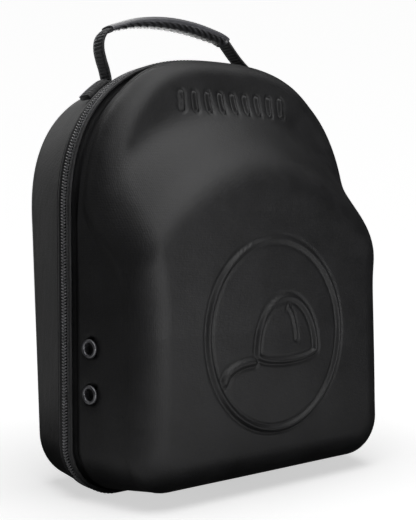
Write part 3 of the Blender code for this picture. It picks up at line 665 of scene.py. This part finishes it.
# Darkest and lightest base colour, roughness, thread pitch, sheen and depth of the weave
CLOTH = cloth_material(
    "shell_cloth", (0.0026, 0.0026, 0.0029), (0.0074, 0.0074, 0.0079), 0.50, 0.0006, 0.0, 0.00004
)
TAPE = cloth_material(
    "tape_cloth", (0.0060, 0.0060, 0.0064), (0.0110, 0.0110, 0.0117), 0.50, 0.0005, 0.10, 0.00008
)
WEBBING = cloth_material(
    "webbing_cloth", (0.0060, 0.0060, 0.0062), (0.0120, 0.0120, 0.0126), 0.60, 0.0005, 0.25, 0.00006
)
THREAD = cloth_material(
    "thread_cloth", (0.0120, 0.0120, 0.0124), (0.0220, 0.0220, 0.0230), 0.55, 0.0003, 0.20, 0.00003
)
# Painted shade: the tape under the zip's teeth is darker than the other tape, for the shade beneath the coil
SHADOW_TAPE = cloth_material(
    "under_tape", (0.0015, 0.0015, 0.0016), (0.0030, 0.0030, 0.0032), 0.75, 0.0005, 0.0, 0.00008
)
# Darkest and lightest base colour, roughness and scale of the mottling, then metal and coat
TEETH = plain_material("zip_teeth_plastic", (0.13, 0.13, 0.135), (0.20, 0.20, 0.21), 0.30, 160.0)
# The grip's rubber takes painted shade from its shade attribute, under the grip and in its grooves
RUBBER = plain_material(
    "grip_rubber", (0.004, 0.004, 0.004), (0.050, 0.050, 0.056), 0.36, 120.0, shaded=True
)
ENAMEL = plain_material(
    "eyelet_enamel", (0.050, 0.050, 0.056), (0.085, 0.085, 0.092), 0.30, 90.0, 0.7, 0.6
)


# ---- Shells ----


def to_frame(points, sense):
    """Depths from the zip plane into the row frame: towards the lid or towards the back."""
    return points * (1, sense, 1) + (0, ZIP_Y, 0)


def eyelet_frames():
    """Centre, outward axis and name of each eyelet on the lid's side walls."""
    slope = math.atan(LID_DRAFT)
    for side, side_name in ((-1, "left"), (1, "right")):
        for z, level in zip(EYELET_HEIGHTS, ("low", "high")):
            half = np.interp(z, [CORNER_RADIUS, ARCH_SPRING_Z], [FOOT_HALF_WIDTH, HALF_WIDTH])
            wall = LID_STEP + LID_DRAFT * (EYELET_SETBACK - LID_START)
            centre = np.array([side * (half - wall), -EYELET_SETBACK + ZIP_Y, z])
            axis = np.array([side * math.cos(slope), -math.sin(slope), 0.0])
            yield centre, axis, f"eyelet_{side_name}_{level}"


def build_lid():
    """The lid's cloth: a lining, the rim with its groove, and a skin with relief and pits.

    Each point of the skin moves along its normal by the relief's height. At an eyelet a
    smooth step of the distance from its axis sinks a pit, with a Gaussian pucker round it.
    """
    top = np.linspace(0, LID_FINE_ARCH, 57)
    rest = np.linspace(LID_FINE_ARCH, 1, 66)[1:]
    line = Outline(np.concatenate([top, rest]), 56, 26, 40)
    edge_shares = np.linspace(0, LID_FINE_EDGE, 30)[1:]
    face_shares = np.linspace(LID_FINE_EDGE, 1, 96)[1:-1]
    shares = np.concatenate([edge_shares, face_shares])
    skin, pole = shell_skin(
        line, lid_wall(line), lid_depth, LID_START, LID_ROUND, (20, 14), 0.0, shares, RING_CENTRE_Z
    )
    inner_shares = np.linspace(0, 1, 25)[1:-1]
    lining, lining_pole = shell_skin(
        line, lid_wall(line), lid_depth, LID_START, LID_ROUND, (3, 8), WALL, inner_shares, RING_CENTRE_Z
    )
    normals = normals_of(skin)
    away = ((skin - (0, 0.02, MID_Z)) * normals).sum()
    outwards = normals * np.sign(away)
    x, z = skin[..., 0], skin[..., 2]
    height = relief(x, z) * (skin[..., 1] > RELIEF_FROM_DEPTH)
    for centre, axis, _ in eyelet_frames():
        local = skin * (1, -1, 1) + (0, ZIP_Y, 0) - centre
        out = local @ axis
        r = np.sqrt(np.clip((local**2).sum(-1) - out**2, 0, None))
        near = np.abs(out) < PIT_REACH
        pit = -PIT_DEPTH * smoothstep((PIT_RADIUS - r) / PIT_SLOPE)
        pucker = -PUCKER_DEPTH * np.exp(-(((r - PUCKER_RADIUS) / PUCKER_SPREAD) ** 2))
        height = height + np.where(near, pit + pucker, 0)
    skin = skin + outwards * height[..., None]
    rings = [line.loop(e, e, y) for e, y in LID_LIPS]
    rings = np.concatenate([lining[::-1], np.array(rings), skin])
    poles = np.array([lining_pole, pole])
    return closed_surface("lid_cloth", to_frame(rings, -1), to_frame(poles, -1), CLOTH)


def build_back():
    """The back's cloth: a leaning wall, a quarter circle, and a face deeper towards the top."""
    line = Outline(np.linspace(0, 1, 64), 40, 20, 24)
    shares = np.linspace(0, 1, 26)[1:-1]
    skin, pole = shell_skin(
        line, back_wall, back_depth, BACK_START, BACK_ROUND, (22, 14), 0.0, shares, MID_Z
    )
    lining, lining_pole = shell_skin(
        line, back_wall, back_depth, BACK_START, BACK_ROUND, (3, 4), WALL, (0.33, 0.67), MID_Z
    )
    rings = [line.loop(e, e, y) for e, y in BACK_LIPS]
    rings = np.concatenate([lining[::-1], np.array(rings), skin])
    poles = np.array([lining_pole, pole])
    return closed_surface("back_cloth", to_frame(rings, 1), to_frame(poles, 1), CLOTH)


# ---- Zip ----


def band_line():
    """The outline from one end of the hinge round to the other, finely sampled."""
    return Outline(np.linspace(0, 1, 200), 150, 60, 30, HINGE_HALF_LENGTH + 0.0003)


def build_band(name, profile, sense, material):
    """A strip of cloth along the outline, its section given as (depth, inset) corners."""
    line = band_line()
    rings = np.array([line.loop(e, max(e, 0.0), y) for y, e in profile])
    return tube_surface(name, to_frame(rings.transpose(1, 0, 2), sense), material)


def smooth_profile(corners):
    """A closed section with its corners cut once, at a quarter of each side."""
    points = np.array(corners)
    ahead = np.roll(points, -1, axis=0)
    cut = np.stack([points * 0.75 + ahead * 0.25, points * 0.25 + ahead * 0.75], axis=1)
    return cut.reshape(-1, 2)


def path_frames(pitch, inset, offset=0.0):
    """Points every pitch along the outline with their tangents and outward normals."""
    line = band_line()
    points = line.loop(inset, max(inset, 0.0), 0.0)
    run = np.concatenate([[0], np.cumsum(np.linalg.norm(np.diff(points, axis=0), axis=1))])
    at = np.arange(pitch + offset, run[-1] - pitch, pitch)
    place = np.stack([np.interp(at, run, points[:, i]) for i in range(3)], axis=-1)
    ahead = np.stack([np.interp(at + pitch / 2, run, points[:, i]) for i in range(3)], axis=-1)
    tangent = ahead - place
    tangent /= np.linalg.norm(tangent, axis=1)[:, None]
    normal = np.stack([-tangent[:, 2], 0 * at, tangent[:, 0]], axis=-1)
    return place, tangent, normal


def build_teeth():
    """Two rows of slanted coil teeth that meet in the middle of the zip."""
    template, faces = capsule(TOOTH_LENGTH, TOOTH_WIDTH, TOOTH_HEIGHT)
    origins, axes = [], []
    for row, sense in ((0.0, -1), (TOOTH_PITCH / 2, 1)):
        place, tangent, normal = path_frames(TOOTH_PITCH, TOOTH_INSET, row)
        across = np.zeros_like(place)
        across[:, 1] = sense
        long = across * TOOTH_ACROSS + tangent * TOOTH_ALONG
        wide = tangent * TOOTH_ACROSS - across * TOOTH_ALONG
        origins.append(place + across * TOOTH_SETBACK + (0, ZIP_Y, 0))
        axes.append(np.stack([long, wide, normal], axis=1))
    origins, axes = np.concatenate(origins), np.concatenate(axes)
    return scattered("zip_teeth", template, faces, origins, axes, TEETH)


def build_stitches():
    """A row of short stitches along the lid's band: rounded bars that follow the outline."""
    template, faces = capsule(STITCH_LENGTH, STITCH_WIDTH, STITCH_WIDTH, 6, 4)
    place, tangent, normal = path_frames(STITCH_PITCH, STITCH_INSET)
    axes = np.stack([tangent, np.cross(tangent, normal), normal], axis=1)
    origins = place + (0, -STITCH_DEPTH + ZIP_Y, 0)
    return scattered("band_stitches", template, faces, origins, axes, THREAD)


def build_hinge():
    """Cloth hinge under the case: a flat band along X, its underside waved by a fine sine."""
    x = np.linspace(-HINGE_HALF_LENGTH, HINGE_HALF_LENGTH, 281)[:, None]
    depth, height = np.array(HINGE_SECTION).T[:, None, :]
    wave = HINGE_WAVE * np.sin(2 * np.pi * x / HINGE_WAVE_PITCH) * (height < HINGE_WAVE_BELOW)
    points = np.stack(np.broadcast_arrays(x, depth + ZIP_Y, height + np.abs(wave)), axis=-1)
    return tube_surface("hinge_cloth", points, TAPE)


# ---- Eyelets ----


def build_eyelets():
    """Each eyelet's section, a rolled flange on a short tube, turned about its axis."""
    bore, flange = EYELET_BORE / 2, EYELET_FLANGE / 2
    crown = (bore + flange) / 2 - 0.0002
    angle = np.linspace(0, np.pi, 15)
    roll = (flange - bore) / 2
    r = crown + roll * np.cos(angle)
    h = EYELET_SEAT + EYELET_ROLL * np.sin(angle) ** 0.8
    profile = np.column_stack([r, h])
    tube = bore + EYELET_TUBE_WALL
    tail = [(bore, -0.003), (bore, -EYELET_TUBE), (tube, -EYELET_TUBE), (tube, -0.0004)]
    profile = np.concatenate([profile, tail, [(flange - 0.0004, -EYELET_SEAT)]])
    turn = np.linspace(0, 2 * np.pi, 48, endpoint=False)
    pieces = []
    for centre, axis, name in eyelet_frames():
        up = np.array([0.0, 0.0, 1.0])
        side = np.cross(up, axis)
        ring = np.cos(turn)[:, None] * side + np.sin(turn)[:, None] * up
        sections = centre + ring[:, None, :] * profile[None, :, :1] + axis * profile[None, :, 1:]
        pieces.append((tube_surface(f"{name}_ring", sections, ENAMEL, loop=True), name))
    return pieces


# ---- Handle ----


def smooth_points(knots, steps):
    """A centripetal Catmull-Rom curve through knots, sampled evenly along its length."""
    knots = np.array(knots)
    p = np.vstack([2 * knots[0] - knots[1], knots, 2 * knots[-1] - knots[-2]])
    t = np.concatenate([[0], np.cumsum(np.linalg.norm(np.diff(p, axis=0), axis=1) ** 0.5)])
    fine = []
    for i in range(1, len(p) - 2):
        u = np.linspace(t[i], t[i + 1], 33)[:-1, None]
        a1 = (t[i] - u) / (t[i] - t[i - 1]) * p[i - 1] + (u - t[i - 1]) / (t[i] - t[i - 1]) * p[i]
        a2 = (t[i + 1] - u) / (t[i + 1] - t[i]) * p[i] + (u - t[i]) / (t[i + 1] - t[i]) * p[i + 1]
        a3 = (t[i + 2] - u) / (t[i + 2] - t[i + 1]) * p[i + 1]
        a3 = a3 + (u - t[i + 1]) / (t[i + 2] - t[i + 1]) * p[i + 2]
        b1 = (t[i + 1] - u) / (t[i + 1] - t[i - 1]) * a1 + (u - t[i - 1]) / (t[i + 1] - t[i - 1]) * a2
        b2 = (t[i + 2] - u) / (t[i + 2] - t[i]) * a2 + (u - t[i]) / (t[i + 2] - t[i]) * a3
        fine.append((t[i + 1] - u) / (t[i + 1] - t[i]) * b1 + (u - t[i]) / (t[i + 1] - t[i]) * b2)
    fine = np.vstack([*fine, p[-2]])
    run = np.concatenate([[0], np.cumsum(np.linalg.norm(np.diff(fine, axis=0), axis=1))])
    at = np.linspace(0, run[-1], steps + 1)
    return np.column_stack([np.interp(at, run, fine[:, 0]), np.interp(at, run, fine[:, 1])]), run[-1]


def arch_z(x):
    """Height of the outline's arch over x."""
    share = np.clip(np.abs(x) / HALF_WIDTH, 0, 1)
    return ARCH_SPRING_Z + ARCH_RISE * (1 - share**ARCH_POWER) ** (1 / ARCH_POWER)


def foot_knots(side):
    """Points of a strap foot on the back shell's arch, from its bend to its outer end."""
    x = side * (FOOT_X + FOOT_LENGTH * np.array(FOOT_SHARES))
    slope = (arch_z(x + 0.001) - arch_z(x - 0.001)) / 0.002
    normals = np.column_stack([-slope, np.ones(len(x))])
    normals /= np.linalg.norm(normals, axis=1)[:, None]
    drop = BACK_STEP + BACK_DRAFT * (STRAP_Y - BACK_START)
    drop -= BACK_DRAFT * STRAP_WIDTH / 2 + FOOT_CLEARANCE + STRAP_THICKNESS / 2
    return np.column_stack([x, arch_z(x)]) - normals * drop


def handle_path():
    """The strap's middle line from foot to foot in the plane of the handle, and its length."""
    loop = np.array(HANDLE_LOOP) * (FOOT_X, HANDLE_RISE) + (0, CASE_HEIGHT)
    return smooth_points(np.vstack([foot_knots(-1)[::-1], loop, foot_knots(1)]), PATH_STEPS)


def path_sides(path):
    """Unit normals of a line, upwards where it runs to the right."""
    ahead = np.gradient(path, axis=0)
    normals = np.column_stack([-ahead[:, 1], ahead[:, 0]])
    return normals / np.linalg.norm(normals, axis=1)[:, None]


def build_strap():
    """Webbing: a flat section along the handle's path, its faces ribbed by a sine of the run.

    At the feet a smooth step of the distance from the end thickens the upper side.
    """
    path, length = handle_path()
    lift = path_sides(path)
    run = np.linspace(0, length, len(path))
    rib = STRAP_RIB_DEPTH * np.sin(2 * np.pi * run / STRAP_RIB_PITCH)
    from_end = np.minimum(run, length - run)
    fold = STRAP_FOLD * smoothstep((FOOT_LENGTH - from_end) / FOOT_FOLD_SLOPE)
    across, height = np.array(STRAP_SECTION).T[:, None, :]
    up = (STRAP_THICKNESS / 2 - 0.0001) * height
    up = up + rib[:, None] * np.sign(height) * (np.abs(across) < 0.9) + fold[:, None] * (height > 0)
    x = path[:, :1] + lift[:, :1] * up
    z = path[:, 1:] + lift[:, 1:] * up
    y = np.broadcast_to(STRAP_Y + ZIP_Y + STRAP_WIDTH / 2 * across, x.shape)
    return tube_surface("handle_webbing", np.stack([x, y, z], axis=-1), WEBBING)


def squared(wave, power):
    """A sine or cosine made squarer by a power below one, with its sign kept."""
    return np.sign(wave) * np.abs(wave) ** power


def build_grip():
    """Grip: a squarish section along the strap, swelling as a parabola to its middle.

    Below its middle line the surface sinks by a constant and by a squared-off sine of the
    run, which lags with the way round the underside, so that the ribs slant.
    """
    path, length = handle_path()
    ends = []
    for knot in (GRIP_FIRST_KNOT, GRIP_LAST_KNOT):
        point = np.array(HANDLE_LOOP[knot]) * (FOOT_X, HANDLE_RISE) + (0, CASE_HEIGHT)
        ends.append(int(np.argmin(np.linalg.norm(path - point, axis=1))))
    lift = path_sides(path)[ends[0] : ends[1] + 1 : 2]
    path = path[ends[0] : ends[1] + 1 : 2]
    t = np.linspace(0, 1, len(path))[:, None]
    run = t * length * (ends[1] - ends[0]) / PATH_STEPS
    swell = 4 * t * (1 - t)
    width = GRIP_END_WIDTH + (GRIP_WIDTH - GRIP_END_WIDTH) * swell**0.7
    edge = GRIP_LEFT_THICKNESS + (GRIP_RIGHT_THICKNESS - GRIP_LEFT_THICKNESS) * t
    thick = edge + (GRIP_THICKNESS - (GRIP_LEFT_THICKNESS + GRIP_RIGHT_THICKNESS) / 2) * swell
    angle = np.linspace(0, 2 * np.pi, 64, endpoint=False)[None, :]
    c, s = np.cos(angle), np.sin(angle)
    across = squared(c, GRIP_SQUARENESS) * width / 2
    up = squared(s, GRIP_SQUARENESS) * thick / 2
    below = smoothstep((-s - 0.06) / 0.10)
    under = np.clip(angle - np.pi, 0, np.pi) * (width + thick) / 4
    wave = smoothstep(0.5 + 1.4 * np.sin(2 * np.pi * (run - GRIP_SLANT * under) / GRIP_RIB_PITCH))
    fade = smoothstep(t / 0.10) * smoothstep((1 - t) / 0.04)
    cut = below * fade * (GRIP_CUT + GRIP_RIB_CUT * wave)
    across = across * (1 - cut / (width / 2))
    up = up + 0.5 * cut * smoothstep(-s / 0.5)
    # Painted shade: the underside is darkened, and the ribs' grooves darker still
    shade = below * fade * (0.25 + 0.75 * wave)
    x = path[:, :1] + lift[:, :1] * up
    z = path[:, 1:] + lift[:, 1:] * up
    y = STRAP_Y + ZIP_Y + across + 0 * x
    sections = np.stack([x, y, z], axis=-1)
    slot_width = squared(c[0], SLOT_SQUARENESS) * (STRAP_WIDTH / 2 + SLOT_CLEARANCE)
    slot_height = squared(s[0], SLOT_SQUARENESS) * SLOT_HALF_THICKNESS
    first, last = (mouth(path[i], lift[i], slot_width, slot_height) for i in (0, -1))
    sections = np.concatenate([first[None], sections, last[None]])
    shade = np.concatenate([shade[:1], shade, shade[-1:]])
    return tube_surface("grip_sleeve", sections, RUBBER, {"shade": shade})


def mouth(point, lift, width, height):
    """The slot's corners at one end of the grip."""
    x = point[0] + lift[0] * height
    z = point[1] + lift[1] * height
    return np.stack([x, STRAP_Y + ZIP_Y + width, z], axis=-1)


# ---- Putting the pieces together ----


def dress(piece, slot, *nodes):
    """Rides a piece on the root body and hides the CAD nodes it stands for; the slot is not used."""
    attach(piece, "root")
    if nodes:
        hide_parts(*nodes)


dress(build_lid(), "shell_cloth", "lid_shell")
dress(build_back(), "shell_cloth", "back_shell")
dress(build_band("lid_band", smooth_profile(LID_BAND), -1, TAPE), "zip_tape", "zip_tape_lid")
dress(build_band("back_band", smooth_profile(BACK_BAND), 1, TAPE), "zip_tape", "zip_tape_back")
dress(build_band("zip_base", smooth_profile(ZIP_BASE), 1, SHADOW_TAPE), "zip_tape")
dress(build_teeth(), "zip_coil", "zip_coil")
dress(build_stitches(), "zip_tape")
dress(build_strap(), "strap_webbing", "handle_strap")
dress(build_grip(), "grip_rubber", "handle_grip")
for ring, node in build_eyelets():
    dress(ring, "eyelet_enamel", node)
dress(build_hinge(), "zip_tape", "hinge_strip")
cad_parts["zip_slider"].data.materials.clear()
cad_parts["zip_slider"].data.materials.append(ENAMEL)


# ---- Floor, light and camera ----


def build_floor():
    """A pale round sweep: a flat disc, a quarter circle up and a wall, turned about the case.

    Its glow stands for the light of a white studio, and only the camera sees it.
    """
    t = np.linspace(0, np.pi / 2, 25)
    turn = np.linspace(0, 2 * np.pi, 96, endpoint=False)
    sweep = FLOOR_REACH + SWEEP_RADIUS * np.sin(t)
    reach = np.concatenate([[FLOOR_INNER_REACH], sweep, [FLOOR_REACH + SWEEP_RADIUS]])
    z = np.concatenate([[0.0], SWEEP_RADIUS * (1 - np.cos(t)), [WALL_TOP]])
    x, y = reach[:, None] * np.cos(turn), reach[:, None] * np.sin(turn)
    rings = np.stack([x, y, np.broadcast_to(z[:, None], x.shape)], axis=-1)
    points = np.concatenate([rings.reshape(-1, 3), np.zeros((1, 3))])
    j = np.arange(len(turn))
    middle = np.stack([np.full(len(turn), len(points) - 1), j, (j + 1) % len(turn)], axis=-1)
    material, tree, shader = principled("floor_paper")
    shade = ramp(tree, noise(tree, coordinates(tree), 3.0), 0.3, 0.7, (0.80, 0.80, 0.80), (0.82, 0.82, 0.82))
    tree.links.new(shade, shader.inputs["Base Color"])
    shader.inputs["Roughness"].default_value = 0.9
    shader.inputs["Specular IOR Level"].default_value = 0.1
    shader.inputs["Emission Color"].default_value = (1, 1, 1, 1)
    away = add(tree, "ShaderNodeVectorMath", operation="LENGTH")
    tree.links.new(coordinates(tree), away.inputs[0])
    glow = maths(tree, "MULTIPLY", away.outputs["Value"], FLOOR_GLOW_GAIN)
    glow = maths(tree, "ADD", maths(tree, "MINIMUM", glow, FLOOR_GLOW_RISE), FLOOR_GLOW)
    tree.links.new(glow, shader.inputs["Emission Strength"])
    floor = new_piece("floor", points, grid_faces(len(z), len(turn), wrap=True), material, middle)
    floor.visible_glossy = False
    floor.visible_diffuse = False
    floor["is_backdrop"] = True


def add_light(name, azimuth, elevation, distance, width, height, power, receivers):
    """An area light that faces the case from a heading in degrees (0 in front, 90 right).

    One below the horizon lies on the floor instead, faces up and is unseen, as light that
    the floor throws back. With receivers a lamp lights only that collection's objects.
    """
    a, e = math.radians(azimuth), math.radians(elevation)
    towards = Vector((math.sin(a) * math.cos(e), -math.cos(a) * math.cos(e), math.sin(e)))
    data = bpy.data.lights.new(name, "AREA")
    data.shape = "RECTANGLE"
    data.size, data.size_y = width, height
    data.energy = power
    light = bpy.data.objects.new(name, data)
    bpy.context.scene.collection.objects.link(light)
    light.location = Vector((0.0, 0.0, MID_Z)) + towards * distance
    light.rotation_euler = towards.to_track_quat("Z", "Y").to_euler()
    if elevation < 0:
        light.location.z = BOUNCE_HEIGHT
        light.rotation_euler = (math.pi, 0.0, math.atan2(towards.x, -towards.y))
        light.visible_camera = False
    if receivers is not None:
        light.light_linking.receiver_collection = receivers


def add_camera():
    """The fitted camera: heading, pitch and roll turned into its own three axes."""
    a, p = CAMERA_AZIMUTH + CAMERA_YAW, CAMERA_PITCH
    forward = np.array([math.sin(a) * math.cos(p), math.cos(a) * math.cos(p), math.sin(p)])
    right = np.array([math.cos(a), -math.sin(a), 0.0])
    up = np.cross(right, forward)
    cr, sr = math.cos(CAMERA_ROLL), math.sin(CAMERA_ROLL)
    right, up = cr * right + sr * up, -sr * right + cr * up
    away = np.array([-math.sin(CAMERA_AZIMUTH), -math.cos(CAMERA_AZIMUTH), 0.0])
    place = np.array([CAMERA_X, ZIP_Y, CAMERA_Z]) + CAMERA_DISTANCE * away
    data = bpy.data.cameras.new("photo_camera")
    data.sensor_width = SENSOR_MM
    data.lens = CAMERA_FOCAL_PX / IMAGE_HEIGHT_PX * SENSOR_MM
    camera = bpy.data.objects.new("photo_camera", data)
    bpy.context.scene.collection.objects.link(camera)
    matrix = np.eye(4)
    matrix[:3, 0], matrix[:3, 1], matrix[:3, 2], matrix[:3, 3] = right, up, -forward, place
    camera.matrix_world = Matrix(matrix.tolist())
    bpy.context.scene.camera = camera


build_floor()
flagged = bpy.data.collections.new("case_pieces")
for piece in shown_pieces():
    flagged.objects.link(piece)
for *numbers, only_case in LAMPS:
    add_light(*numbers, flagged if only_case else None)
world = bpy.data.worlds.new("studio")
world.use_nodes = True
world.node_tree.nodes["Background"].inputs["Color"].default_value = (1, 1, 1, 1)
world.node_tree.nodes["Background"].inputs["Strength"].default_value = WORLD_STRENGTH
bpy.context.scene.world = world
bpy.context.scene.view_settings.view_transform = "Standard"
add_camera()

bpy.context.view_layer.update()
